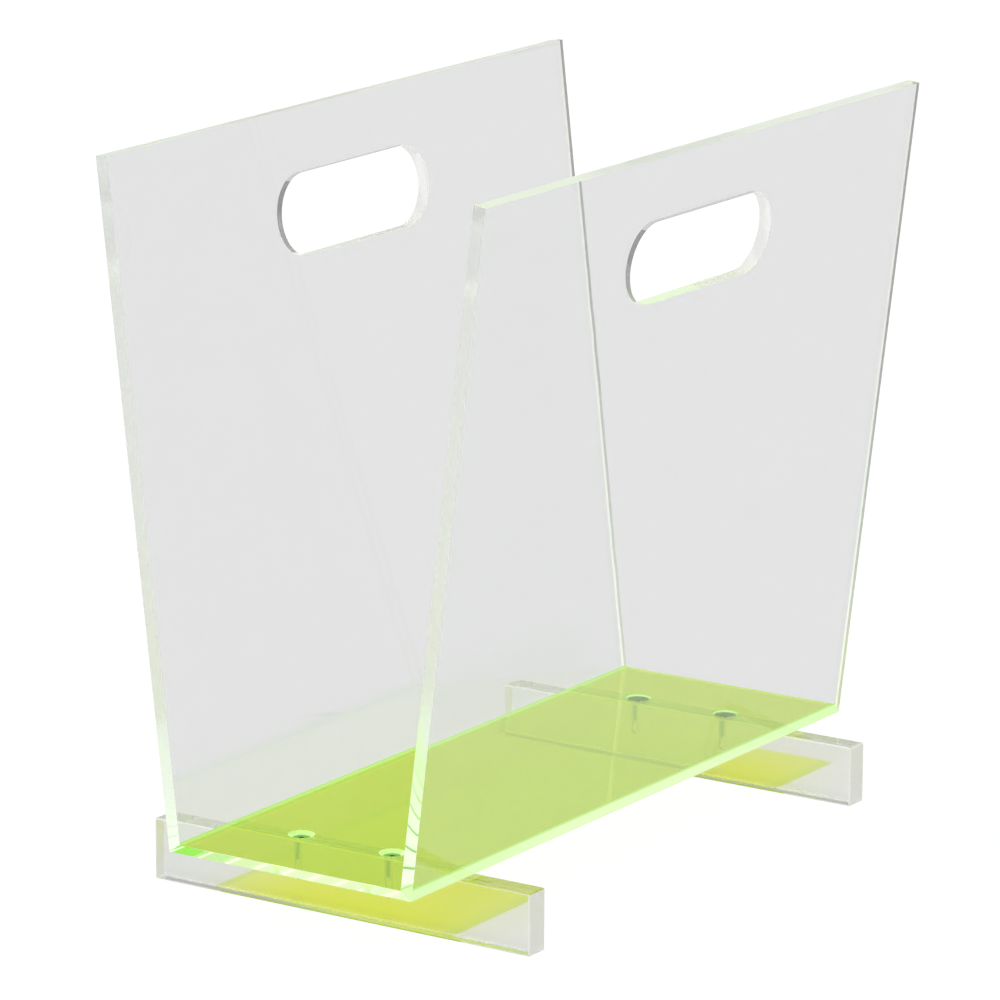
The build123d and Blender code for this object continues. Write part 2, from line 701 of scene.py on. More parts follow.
@dataclass(frozen=True)
class ShadedEnd(Finish):
    """Acrylic that looks along +X, away from the light, with painted shade in colours that change with the
    height.

    Attributes:
        shades: Colours of the painted shade, each with its height above the table.
        clearness: Share of the light that goes through.
        shine: Painted light that is added where the surface is seen straight, as a share of its colour.
        led: Painted brightness that light led along the sheet finds here, in place of the painted shade.
        mirrored: Painted brightness that mirrored light finds here, in place of the painted shade.
        shaded: Brightness of a white surface in this shade.
        marks: How worn the surface is.
    """

    name: str = "clear_acrylic_end_in_shade"
    shades: Tuple[Stop, ...] = ((0.05, (0.80, 0.84, 0.80)), (0.12, (0.58, 0.60, 0.58)),
                                (0.22, (0.24, 0.24, 0.23)), (0.33, (0.18, 0.18, 0.17)))
    clearness: float = 0.35
    shine: float = 0.0
    led: float = 0.86
    mirrored: float = 0.70
    shaded: float = 0.85
    marks: Marks = Marks(0.25, 0.05, wave=0.0)
    lamp_tint: Colour = (0.97, 0.975, 0.97)

    def surface(self, graph: Graph) -> Socket:
        """Adds the painted shade, and gives mirrored light and light that is led inside back what it takes,
        as painted light.

        Args:
            graph: The material's graph.

        Returns:
            The shader.
        """
        shade, turns = graph.ramp("shade by height", graph.along("Z"), self.shades), graph.turns()
        taken = 1 - self.clearness
        more = graph.maths("MULTIPLY", graph.maths("GREATER_THAN", turns, LED_INSIDE),
                           (self.led - self.mirrored) * taken)
        missing = graph.vectors("MULTIPLY_ADD", "what the shade takes", shade, (-self.shaded * taken,) * 3,
                                graph.maths("ADD", more, self.mirrored * taken))
        glow = graph.mix(graph.maths("GREATER_THAN", turns, SEEN_STRAIGHT),
                         graph.scaled("paler where it is seen straight", shade, self.shine),
                         graph.vectors("MAXIMUM", "", missing), "seen straight, or mirrored and led")
        return acrylic(graph, self.marks, shade, self.clearness, glow)


@dataclass(frozen=True)
class FluorescentAcrylic(Finish):
    """Green fluorescent acrylic: clear faces with a yellow-green body, and edges that glow with painted
    light.

    Attributes:
        colour: Colour of light that goes in and out again.
        glow: Glow of a face in the middle of the rack.
        end_glow: Glow of a face at the two ends of the rack.
        reach: Length over which the glow changes.
        inner_glow: Glow where light is led along the sheet.
        kept: Share of the glow that is left after each turn.
        marks: How worn the surface is.
    """

    name: str = "fluorescent_green_acrylic"
    colour: Colour = (0.62, 0.78, 0.04)
    glow: Colour = (0.052, 0.084, 0.004)
    end_glow: Colour = (0.044, 0.072, 0.003)
    reach: float = 0.06
    inner_glow: Colour = (0.178, 0.198, 0.138)
    kept: float = 0.80
    marks: Marks = Marks(0.0, 0.010, wave=0.0)
    lamp_tint: Colour = (0.955, 1.0, 0.30)

    def surface(self, graph: Graph) -> Socket:
        """Adds a clear surface with a painted glow that fades from turn to turn.

        Args:
            graph: The material's graph.

        Returns:
            The shader.
        """
        turns = graph.turns()
        glow = LengthwiseGlow().use(graph, {"End Color": self.end_glow, "Middle Color": self.glow,
                                            "Reach": self.reach, "Unevenness": 0.0})
        inside = graph.mix(graph.maths("MINIMUM", turns, 1.0), glow["Color"], self.inner_glow,
                           "light led along the sheet")
        faded = graph.scaled("what is left of it", inside, graph.maths("POWER", self.kept, turns))
        return acrylic(graph, self.marks, self.colour, 1.0, faded)


@dataclass(frozen=True)
class CementedJoint(Finish):
    """The painted glow of the cement, as it shows inside one of the two sheets that meet there.

    Attributes:
        end_colour: Glow at the two ends of the rack.
        middle_colour: Glow in the middle.
        led: Colours of the glow where it is led along the sheet, each with its number of turns.
        outside: Colour from the other side of the joint, where that differs.
        body: Colour of the cement itself.
        roughness: Roughness of the cement.
        reach: Length over which the glow changes.
        unevenness: Strength of the patches in the cement.
    """

    name: str
    end_colour: Colour
    middle_colour: Colour
    led: Tuple[Stop, ...]
    outside: Optional[Colour] = None
    body: Colour = (0.02, 0.03, 0.01)
    roughness: float = 0.6
    reach: float = 0.12
    unevenness: float = 0.25
    lamp_tint: Colour = (0.9, 0.96, 0.6)

    def surface(self, graph: Graph) -> Socket:
        """Adds the cement, with one glow where it is seen straight and another where that is led.

        Args:
            graph: The material's graph.

        Returns:
            The shader.
        """
        turns = graph.turns()
        glow = LengthwiseGlow().use(graph, {"End Color": self.end_colour, "Middle Color": self.middle_colour,
                                            "Reach": self.reach, "Unevenness": self.unevenness})
        shown = graph.mix(graph.maths("MINIMUM", turns, 1.0), glow["Color"],
                          graph.ramp("glow led along the sheet", turns, self.led), "straight or led")
        if self.outside:
            back = graph.add("NewGeometry").outputs["Backfacing"]
            shown = graph.mix(back, self.outside, shown, "pale from the other side")
        feeds: Feeds = {"Base Color": self.body, "Roughness": self.roughness, "Specular IOR Level": 0.0,
                        "Emission Strength": 1.0, "Emission Color": shown}
        return graph.add("BsdfPrincipled", "", feeds).outputs["BSDF"]


@dataclass(frozen=True)
class ScrewSteel(Finish):
    """Bright zinc-plated steel with a fine grain.

    Attributes:
        colour: Colour of the brightest grains.
        roughness: Roughness on the whole.
        dull: Brightness of the dullest grains, as a share of the brightest.
        spread: Difference in roughness between the grains.
        grain_scale: Scale of the grain.
        grain_detail: Detail of the grain.
        grain: Height of the grain.
    """

    name: str = "zinc_plated_steel"
    colour: Colour = (0.78, 0.82, 0.76)
    roughness: float = 0.30
    dull: float = 0.8
    spread: float = 0.2
    grain_scale: float = 2600.0
    grain_detail: float = 4.0
    grain: float = 0.00002
    lamp_tint: Colour = (0.975, 0.99, 0.60)

    def surface(self, graph: Graph) -> Socket:
        """Adds the plated surface.

        Args:
            graph: The material's graph.

        Returns:
            The shader.
        """
        grain = graph.noise("plating grain", self.grain_scale, self.grain_detail, graph.place())
        tone = graph.mix(grain, tuple(self.dull * part for part in self.colour), self.colour)
        spread = graph.maths("MULTIPLY", grain, self.spread)
        feeds: Feeds = {"Metallic": 1.0, "Base Color": tone,
                        "Roughness": graph.maths("ADD", spread, self.roughness - self.spread / 2),
                        "Normal": graph.bump("plating", self.grain, grain)}
        return graph.add("BsdfPrincipled", "", feeds).outputs["BSDF"]


# Painted glow of the cement after many turns, the same in both panels.
LED_FAR = ((19, (0.80, 0.88, 0.74)), (24, (0.78, 0.82, 0.745)), (55, (0.762, 0.785, 0.745)),
           (63, (0.10, 0.10, 0.10)))

# The cement of the joints with its painted glow, as each sheet shows it, and its bead on the panels' inner
# faces.
JOINT_IN_BASE = CementedJoint(
    "cement_seen_in_green_sheet", (0.26, 0.80, 0.07), (0.30, 0.85, 0.10), outside=(0.76, 0.96, 0.56),
    led=((1, (0.24, 0.74, 0.08)), (3, (0.24, 0.48, 0.14)), (6, (0.20, 0.27, 0.15)), (14, (0.04, 0.05, 0.03))))
JOINT_IN_PANEL = {
    Side.FRONT: CementedJoint(
        "cement_seen_in_front_sheet", (0.70, 1.0, 0.44), (0.80, 1.0, 0.54),
        led=((1, (0.91, 0.99, 0.78)), (8, (0.86, 0.98, 0.67)), (15, (0.73, 0.965, 0.46)), *LED_FAR)),
    Side.REAR: CementedJoint(
        "cement_seen_in_rear_sheet", (0.70, 1.0, 0.44), (0.80, 1.0, 0.54),
        led=((1, (0.92, 0.98, 0.86)), (6, (0.87, 0.94, 0.80)), (12, (0.82, 0.88, 0.77)), *LED_FAR)),
}
BEAD = {
    Side.FRONT: CementedJoint(
        "cement_bead_at_front", (0.50, 0.84, 0.20), (0.55, 0.88, 0.25),
        led=((1, (0.26, 0.64, 0.13)), (7, (0.38, 0.78, 0.20)), (14, (0.58, 0.91, 0.32)), *LED_FAR)),
    Side.REAR: CementedJoint(
        "cement_bead_at_rear", (0.46, 0.82, 0.17), (0.50, 0.85, 0.20),
        led=((1, (0.78, 0.93, 0.66)), (6, (0.82, 0.92, 0.74)), (12, (0.81, 0.87, 0.76)), *LED_FAR)),
}

# Finishes of single edges, walls and ends, most of them with painted light or painted shade.
# Painted light: these edges and ends are paler where they are seen straight.
SLOT_EDGE = ClearAcrylic("clear_acrylic_slot_edge", marks=Marks(0.12), lift=(0.14, 0.14, 0.14))
TOP_EDGE = ClearAcrylic("clear_acrylic_soft_edge", marks=Marks(0.38), lift=(0.15, 0.18, 0.12))
NEAR_END = ClearAcrylic("clear_acrylic_flamed_end", marks=Marks(0.22), sands_in=(0.055, 0.11),
                        lift=(0.040, 0.055, 0.035))
# Painted light on the rear half of the panels' far ends, pale towards the foot and paler where seen straight.
FAR_END = ShadedEnd("clear_acrylic_end_half_lit", clearness=0.25, shine=0.30, shades=(
    (0.05, (0.95, 0.95, 0.97)), (0.12, (0.84, 0.88, 0.84)), (0.33, (0.70, 0.72, 0.69))))
SANDED_GREEN = Marks(0.09, 0.010, wave=0.0)
# Painted light on the plate's pale ends, and a copy in painted shade for the far end.
PLATE_END = FluorescentAcrylic("fluorescent_green_edge", (0.98, 1.0, 0.95), marks=SANDED_GREEN)
PLATE_FAR_END = FluorescentAcrylic("fluorescent_green_edge_in_shade", (0.45, 1.0, 0.90), marks=SANDED_GREEN)
# The bores glow with painted light, and the two right countersinks carry painted shade below a rim of painted
# light.
BORE = FluorescentAcrylic("fluorescent_green_bore", (0.60, 1.0, 0.28), inner_glow=(0.12, 0.30, 0.34))
BORE_IN_SHADE = SawnAcrylic("fluorescent_green_bore_in_shade", (0.20, 0.23, 0.10), (0.02, 0.03, 0.0), 0.10)
LIT_BORE_RIM = SawnAcrylic("fluorescent_green_rim", (0.45, 0.86, 0.26), (0.08, 0.22, 0.04), 0.20)
# Painted olive reflection of the plate's underside, on the feet's lower edge under the plate.
PAINTED_OLIVE_REFLECTION = SawnAcrylic("clear_acrylic_matt_olive", (0.50, 0.65, 0.03), (0.04, 0.09, 0.0))
UNDERSIDE = ClearAcrylic("clear_acrylic_ground", marks=Marks(0.25))
# Painted green light from the plate on the left foot's top edge in front of it.
LIT_GREEN = ClearAcrylic("clear_acrylic_lit_green", (0.86, 1.0, 0.10))
# Painted green light on the screws' shanks and head tops, and painted shade in the socket.
STEEL_IN_GREEN = ScrewSteel("steel_in_green_light", (0.74, 1.0, 0.66), roughness=0.4)
STEEL_TOP = ScrewSteel("steel_lit_green", (0.32, 0.66, 0.10))
STEEL_SOCKET_SHADE = ScrewSteel("steel_in_the_socket", (0.008, 0.012, 0.008), roughness=0.5)


def dress_faces(piece: bpy.types.Object, finish: Finish, test: FaceTest) -> None:
    """Gives the faces that pass a test a finish of their own.

    Args:
        piece: The mesh object.
        finish: The finish.
        test: Called with a face's centre and normal.
    """
    if finish.name not in piece.data.materials:
        piece.data.materials.append(finish.build())
    pick_faces(piece, test)
    with edit_mode(piece, "KEEP"):
        piece.active_material_index = piece.data.materials.find(finish.name)
        bpy.ops.object.material_slot_assign()


# --- Sub-assemblies -------------------------------------------------------------------------------------


@dataclass
class Joint:
    """The bevelled joint between the base plate and one panel, taken from the boxes of the CAD nodes.

    Attributes:
        side: Long side that the joint is on.
        gap: Space left between the two sheets for the cement.
        bead: Height of the cement on the inner face of the panel.
        near: Distance from the joint's plane within which a point counts as in it.
        outer: Outer edge of the joint, at the underside of the base plate.
        inner: Inner edge of the joint, at the top of the base plate.
        normal: Direction square to the joint, from the panel into the base plate.
    """

    side: Side
    gap: float = 0.00004
    bead: float = 0.0010
    near: float = 0.0001
    outer: Vector = field(init=False)
    inner: Vector = field(init=False)
    normal: Vector = field(init=False)

    def __post_init__(self) -> None:
        """Works out the joint from the base plate and the rear panel."""
        low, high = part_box("base_plate")
        sign = self.side.value
        self.outer = Vector((0, sign * high.y, low.z))
        self.inner = Vector((0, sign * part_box("rear_panel")[0].y, high.z))
        run = self.inner - self.outer
        self.normal = Vector((0, -sign * run.z, -abs(run.y))).normalized()

    def touches(self, point: Vector) -> bool:
        """Returns whether a point lies in the joint."""
        return abs((point - self.outer).dot(self.normal)) < self.near

    def takes(self, centre: Vector, normal: Vector) -> bool:
        """Returns whether a face with this centre and normal lies in the joint."""
        return abs(normal.dot(self.normal)) > SQUARE and self.touches(centre)

    def split(self, piece: bpy.types.Object, keep_base: bool) -> None:
        """Cuts a piece along the joint and closes it.

        Args:
            piece: The sheet to cut.
            keep_base: Keeps the base plate's part instead of the panel's.
        """
        shift = self.normal * (self.gap / 2 if keep_base else -self.gap / 2)
        with edit_mode(piece):
            bpy.ops.mesh.bisect(plane_co=tuple(self.outer + shift), plane_no=tuple(self.normal),
                                use_fill=True, clear_inner=keep_base, clear_outer=not keep_base)

    def mark_bead(self, panel: bpy.types.Object) -> None:
        """Scores a line round a panel at the top of the cement bead."""
        with edit_mode(panel):
            bpy.ops.mesh.bisect(plane_co=(0, 0, self.inner.z + self.bead), plane_no=(0, 0, 1))

    def dress_panel(self, panel: bpy.types.Object) -> None:
        """Gives a panel's bevel and the foot of its inner face the finish of the cement, with its painted
        glow.

        Args:
            panel: The panel.
        """
        dress_faces(panel, JOINT_IN_PANEL[self.side], self.takes)
        dress_faces(panel, BEAD[self.side], lambda centre, normal: normal.y * self.side.value < -FACING
                    and centre.z < self.inner.z + self.bead)


@dataclass
class Panel:
    """A clear panel with a handle slot.

    Attributes:
        side: Long side that the panel stands on.
        sheet: Thickness.
        slant: Height of the outer face, along the face.
        slot_length: Handle slot overall, round ends included.
        slot_height: Height of the handle slot.
        slot_below_top: Upper edge of the slot below the top edge.
        edge_break: Width of the chamfer on the polished edges.
        crown: Rounding of the flame-polished end faces.
        spare: Length below the joint that is cut off there.
        slot_sides: Sides of the circle that rounds the slot's ends.
        near: Distance from an end or the top within which a face counts as part of it.
        past_middle: How far the painted shade on the faces that look along +X reaches past the middle of the
            sheet.
    """

    side: Side
    sheet: float = 0.006
    slant: float = 0.305
    slot_length: float = 0.115
    slot_height: float = 0.037
    slot_below_top: float = 0.029
    edge_break: float = 0.0001
    crown: float = 0.0002
    spare: float = 0.006
    slot_sides: int = 96
    near: float = 0.001
    past_middle: float = 0.00075

    @property
    def node(self) -> str:
        """CAD node that the panel stands for."""
        return f"{self.side.name.lower()}_panel"

    def slot_cutter(self, foot: Vector) -> bpy.types.Object:
        """Makes the cutter of the handle slot, upright.

        Args:
            foot: Lowest outer edge of the panel.

        Returns:
            A bar across the panel with round ends.
        """
        radius = self.slot_height / 2
        run = self.slot_length / 2 - radius
        height = foot.z + self.slant - self.slot_below_top - radius
        bpy.ops.object.select_all(action="DESELECT")
        bpy.ops.mesh.primitive_cylinder_add(vertices=self.slot_sides, radius=radius, depth=4 * self.sheet,
                                            location=(0, 0, 0))
        bar = bpy.context.object
        bar.name = "slot_cutter"
        with edit_mode(bar):
            bpy.ops.transform.rotate(value=radians(90), orient_axis="X", center_override=(0, 0, 0))
            bpy.ops.transform.translate(value=(-run, foot.y, height))
            bpy.ops.mesh.duplicate_move(TRANSFORM_OT_translate={"value": (2 * run, 0, 0)})
            bpy.ops.mesh.select_all(action="SELECT")
            bpy.ops.mesh.convex_hull()
        return bar

    def dress(self, panel: bpy.types.Object, foot: Vector, lean: float) -> None:
        """Gives the edges of the panel their finishes: painted light where they are seen straight and on the
        rear half of the far ends, and painted shade on the front half of every face that looks along +X.

        Args:
            panel: The panel.
            foot: Lowest outer edge of the panel.
            lean: Angle by which the panel leans out.
        """
        low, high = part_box(self.node)
        # Painted shade goes on the faces that look along +X in front of this line, which leans with the
        # panel.
        line = foot.y - self.side.value * self.sheet / 2 + self.past_middle
        slope = self.side.value * tan(lean)
        panel.data.materials.append(ClearAcrylic().build())
        dress_faces(panel, SLOT_EDGE, lambda centre, normal: abs(normal.y) < FACING
                    and abs(centre.x) < self.slot_length and centre.z > foot.z + self.slant / 2)
        dress_faces(panel, TOP_EDGE, lambda centre, normal: abs(normal.y) < FACING
                    and centre.z > high.z - self.near and high.x - abs(centre.x) > self.near)
        dress_faces(panel, NEAR_END, lambda centre, normal: normal.x < -PARTLY
                    and centre.x < low.x + self.near)
        dress_faces(panel, FAR_END, lambda centre, normal: normal.x > PARTLY
                    and centre.x > high.x - self.near)
        dress_faces(panel, ShadedEnd(), lambda centre, normal: normal.x > PARTLY
                    and centre.y < line + (centre.z - foot.z) * slope)

    def build(self) -> bpy.types.Object:
        """Models the panel.

        Returns:
            The finished panel.
        """
        joint = Joint(self.side)
        low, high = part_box(self.node)
        foot, sign = joint.outer, self.side.value
        lean = asin((max(abs(low.y), abs(high.y)) - abs(foot.y)) / self.slant)
        faces = sorted((foot.y, foot.y - sign * self.sheet))
        panel = add_block(f"{self.side.name.lower()}_clear_panel",
                          Vector((low.x, faces[0], foot.z - self.spare)),
                          Vector((high.x, faces[1], foot.z + self.slant)))
        crown_ends(panel, self.crown)
        cut(panel, self.slot_cutter(foot))
        with edit_mode(panel):
            bpy.ops.transform.rotate(value=sign * lean, orient_axis="X", center_override=tuple(foot))
        joint.split(panel, keep_base=False)
        break_edges(panel, self.edge_break, lambda a, b: not (joint.touches(a) and joint.touches(b)))
        joint.mark_bead(panel)
        self.dress(panel, foot, lean)
        joint.dress_panel(panel)
        smooth(panel)
        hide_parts(self.node)
        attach(panel, "root")
        return panel


@dataclass
class ScrewPlace:
    """Where one screw sits.

    Attributes:
        end: End of the rack.
        side: Long side of the rack.
    """

    end: End
    side: Side

    @property
    def node(self) -> str:
        """CAD node of the screw."""
        return f"{self.end.name.lower()}_{self.side.name.lower()}_screw"

    @property
    def piece(self) -> str:
        """Name of the piece that stands for the screw."""
        return self.node.replace("_screw", "_socket_screw")

    @property
    def axis(self) -> Vector:
        """Top end of the screw's axis."""
        low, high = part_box(self.node)
        return Vector(((low.x + high.x) / 2, (low.y + high.y) / 2, high.z))


PLACES: List[ScrewPlace] = [ScrewPlace(end, side) for end in End for side in Side]


@dataclass
class BasePlate:
    """The fluorescent plate with bevelled long edges and four countersunk holes.

    Attributes:
        hole: Diameter of the clearance holes.
        countersink: Diameter of the countersinks at the top.
        score: Depth of the line between the rim and the lower part of a countersink, which carry painted
            light and painted shade in the two right ones.
        edge_break: Width of the chamfer on the two end faces.
        lift: Air film between the plate and the feet.
        spare: Length by which a cutter stands out of the plate.
        sides: Sides of a hole's circle.
    """

    hole: float = 0.0044
    countersink: float = 0.0118
    score: float = 0.0007
    edge_break: float = 0.00018
    lift: float = 0.00003
    spare: float = 0.001
    sides: int = 64

    def hole_cutter(self, place: ScrewPlace, low: float, high: float) -> bpy.types.Object:
        """Makes the cutter of one countersunk hole.

        Args:
            place: The screw that goes through.
            low: Underside of the plate.
            high: Top of the plate.

        Returns:
            The cutter.
        """
        wide, narrow = self.countersink / 2, self.hole / 2
        return add_turned("hole_cutter", place.axis, [
            (narrow, low - self.spare), (narrow, high - (wide - narrow)),
            (wide - self.score, high - self.score), (wide, high), (wide, high + self.spare)], self.sides)

    def dress(self, plate: bpy.types.Object, low: Vector, high: Vector) -> None:
        """Gives the ends of the plate and the walls of its holes their finishes, with painted glow, and
        painted shade below a rim of painted light in the two right countersinks.

        Args:
            plate: The plate.
            low: Lowest corner of its box.
            high: Highest corner of its box.
        """
        near = 2 * self.edge_break

        def on_right_cone(centre: Vector, normal: Vector) -> bool:
            """Returns whether a face is part of one of the two right countersinks."""
            return TOWARDS < normal.z < STEEP and centre.x > 0

        plate.data.materials.append(FluorescentAcrylic().build())
        dress_faces(plate, PLATE_END, lambda centre, normal: abs(normal.x) > PARTLY
                    and min(centre.x - low.x, high.x - centre.x) < near)
        dress_faces(plate, PLATE_FAR_END, lambda centre, normal: normal.x > PARTLY
                    and high.x - centre.x < near)
        dress_faces(plate, BORE, lambda centre, normal: abs(normal.z) < STEEP
                    and min(centre.x - low.x, high.x - centre.x) > near)
        # The two right countersinks get painted shade below a rim of painted light.
        dress_faces(plate, BORE_IN_SHADE, lambda centre, normal: on_right_cone(centre, normal)
                    and centre.z < high.z - self.score)
        dress_faces(plate, LIT_BORE_RIM, lambda centre, normal: on_right_cone(centre, normal)
                    and centre.z > high.z - self.score)

    def build(self) -> bpy.types.Object:
        """Models the base plate.

        Returns:
            The finished plate.
        """
        low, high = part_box("base_plate")
        plate = add_block("green_base", low + Vector((0, 0, self.lift)), high)
        joints = [Joint(side) for side in Side]
        for joint in joints:
            joint.split(plate, keep_base=True)
        break_edges(plate, self.edge_break, lambda a, b: abs(a.x - b.x) < HAIR and abs(a.z - b.z) < HAIR)
        for place in PLACES:
            cut(plate, self.hole_cutter(place, low.z, high.z))
        self.dress(plate, low, high)
        for joint in joints:
            dress_faces(plate, JOINT_IN_BASE, joint.takes)
        smooth(plate)
        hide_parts("base_plate")
        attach(plate, "root")
        return plate


@dataclass
class Thread:
    """A metric thread, drawn as one ridge to each pitch.

    Attributes:
        pitch: Distance from crest to crest.
        major: Diameter over the crests.
        minor: Diameter at the roots.
        crest: Where a crest starts and ends, as shares of the pitch.
    """

    pitch: float = 0.0007
    major: float = 0.0040
    minor: float = 0.0033
    crest: Tuple[float, float] = (0.44, 0.56)

    def stations(self, bottom: float, top: float) -> List[Station]:
        """Lays out the ridges.

        Args:
            bottom: Height of the lowest root.
            top: Height where the ridges end.

        Returns:
            Pairs of radius and height, from the bottom up.
        """
        found: List[Station] = []
        height = bottom
        while height + self.pitch <= top:
            found.append((self.minor / 2, height))
            found += [(self.major / 2, height + share * self.pitch) for share in self.crest]
            height += self.pitch
        return found


@dataclass
class Screws:
    """The four countersunk hexagon socket screws, modelled once and copied.

    Attributes:
        length: Overall, head included.
        head: Diameter of the head.
        rim: Straight rim above the cone of the head.
        edge: Break of the rim's top edge.
        socket: Width of the socket across its flats.
        socket_depth: Depth of the socket's flats.
        socket_break: Depth of the chamfer round the socket.
        drill_point: Depth of the drill's cone below the flats.
        blunt: Radius at the point of that cone.
        tip: Taper of the screw's tip, to each side.
        lead: Height of that taper.
        run_out: Length below the head where the thread ends.
        near: Distance from the top within which a face counts as part of it.
        sides: Sides of a screw's circle.
        thread: The thread of the shank.
    """

    length: float = 0.012
    head: float = 0.0082
    rim: float = 0.0002
    edge: float = 0.00008
    socket: float = 0.0025
    socket_depth: float = 0.0019
    socket_break: float = 0.00012
    drill_point: float = 0.0006
    blunt: float = 0.0002
    tip: float = 0.0005
    lead: float = 0.00025
    run_out: float = 0.0004
    near: float = 0.0001
    sides: int = 48
    thread: Thread = field(default_factory=Thread)

    def socket_cutter(self, axis: Vector, corner: float) -> bpy.types.Object:
        """Makes the cutter of the socket.

        Args:
            axis: Top end of the screw's axis.
            corner: Radius of the socket over its corners.

        Returns:
            A hexagonal bar with a point.
        """
        foot, over = axis.z - self.socket_depth, 1.5 * self.socket_break
        return add_turned("socket_cutter", axis, [
            (self.blunt, foot - self.drill_point), (corner, foot), (corner, axis.z - self.socket_break),
            (corner + self.socket_break + over, axis.z + over)], HEXAGON)

    def model(self, place: ScrewPlace) -> bpy.types.Object:
        """Models one screw in place.

        Args:
            place: Where the screw sits.

        Returns:
            The finished screw.
        """
        axis, head, shank = place.axis, self.head / 2, self.thread.major / 2
        top = axis.z
        cone_foot, tip = top - self.rim - (head - shank), top - self.length
        screw = add_turned(place.piece, axis, [
            (shank - self.tip, tip), *self.thread.stations(tip + self.lead, cone_foot - self.run_out),
            (self.thread.minor / 2, cone_foot - self.run_out / 2), (shank, cone_foot), (head, top - self.rim),
            (head, top - self.edge), (head - self.edge, top)], self.sides)
        corner = self.socket / 2 / cos(pi / HEXAGON)
        cut(screw, self.socket_cutter(axis, corner))
        deepest = top - self.socket_depth - self.drill_point - self.near
        screw.data.materials.append(ScrewSteel().build())
        # Painted green light on the shank and the head's top, and painted shade in the socket.
        dress_faces(screw, STEEL_IN_GREEN, lambda centre, normal: centre.z < cone_foot)
        dress_faces(screw, STEEL_TOP, lambda centre, normal: normal.z > FACING and centre.z > top - self.near)
        dress_faces(screw, STEEL_SOCKET_SHADE, lambda centre, normal: (centre.xy - axis.xy).length < corner
                    and deepest < centre.z < top - self.near)
        smooth(screw)
        return screw

    def build(self) -> List[bpy.types.Object]:
        """Models the first screw, and copies it to the other places.

        Returns:
            The four screws.
        """
        first = PLACES[0]
        screws = [self.model(first)]
        for place in PLACES[1:]:
            screws.append(moved_copy(screws[0], place.piece, place.axis - first.axis))
        for place, screw in zip(PLACES, screws):
            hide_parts(place.node)
            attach(screw, "root")
        return screws


@dataclass
class Feet:
    """The two clear bars on edge, each with two tapped holes, modelled once and copied.

    Attributes:
        edge: Width of the round along every edge of a bar.
        hole: Diameter of the tapped holes.
        hole_depth: Depth of the thread below the top of a bar.
        drill_point: Depth of the drill's cone below the thread.
        blunt: Radius at the point of that cone.
        spare: Length by which a cutter stands out of the bar.
        sides: Sides of a hole's circle.
        round_steps: Facets of the round along an edge.
    """

    edge: float = 0.0008
    hole: float = 0.0041
    hole_depth: float = 0.015
    drill_point: float = 0.0012
    blunt: float = 0.0001
    spare: float = 0.0005
    sides: int = 48
    round_steps: int = 4

    def hole_cutter(self, place: ScrewPlace, high: float) -> bpy.types.Object:
        """Makes the cutter of one tapped hole.

        Args:
            place: The screw that the hole takes.
            high: Top of the bar.

        Returns:
            The cutter.
        """
        foot, radius = high - self.hole_depth, self.hole / 2
        return add_turned("tap_cutter", place.axis, [
            (self.blunt, foot - self.drill_point), (radius, foot), (radius, high + self.spare)], self.sides)

    def build(self) -> List[bpy.types.Object]:
        """Models the left bar and copies it to the right.

        Returns:
            The two bars.
        """
        low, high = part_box("left_foot")
        front, rear = (corner.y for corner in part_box("base_plate"))
        bar = add_block("left_foot_bar", low, high)
        break_edges(bar, self.edge, lambda a, b: True, self.round_steps)
        for line in (front, rear):
            with edit_mode(bar):
                bpy.ops.mesh.bisect(plane_co=(0, line, 0), plane_no=(0, 1, 0))
        bar.data.materials.append(ClearAcrylic().build())
        dress_faces(bar, SawnAcrylic(), lambda centre, normal: max(abs(part) for part in normal) < SQUARE)
        # Painted olive reflection of the plate's underside on the lower edge under the plate.
        dress_faces(bar, PAINTED_OLIVE_REFLECTION, lambda centre, normal: -SQUARE < normal.z < -LEANING
                    and normal.x < -LEANING and front < centre.y < rear)
        for place in PLACES:
            if place.end is End.LEFT:
                cut(bar, self.hole_cutter(place, high.z))
        dress_faces(bar, UNDERSIDE, lambda centre, normal: normal.z < -SQUARE and centre.z < self.edge / 2)
        dress_faces(bar, SawnAcrylic(), lambda centre, normal: abs(normal.y) > MOSTLY)
        smooth(bar)
        bars = [bar, moved_copy(bar, "right_foot_bar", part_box("right_foot")[0] - low)]
        # Painted green light on the left bar's top edge in front of the plate.
        dress_faces(bar, LIT_GREEN, lambda centre, normal: normal.z > TOWARDS
                    and centre.z > high.z - self.edge and centre.y < front)
        for piece, node in zip(bars, ("left_foot", "right_foot")):
            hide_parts(node)
            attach(piece, "root")
        return bars


# --- Studio ---------------------------------------------------------------------------------------------


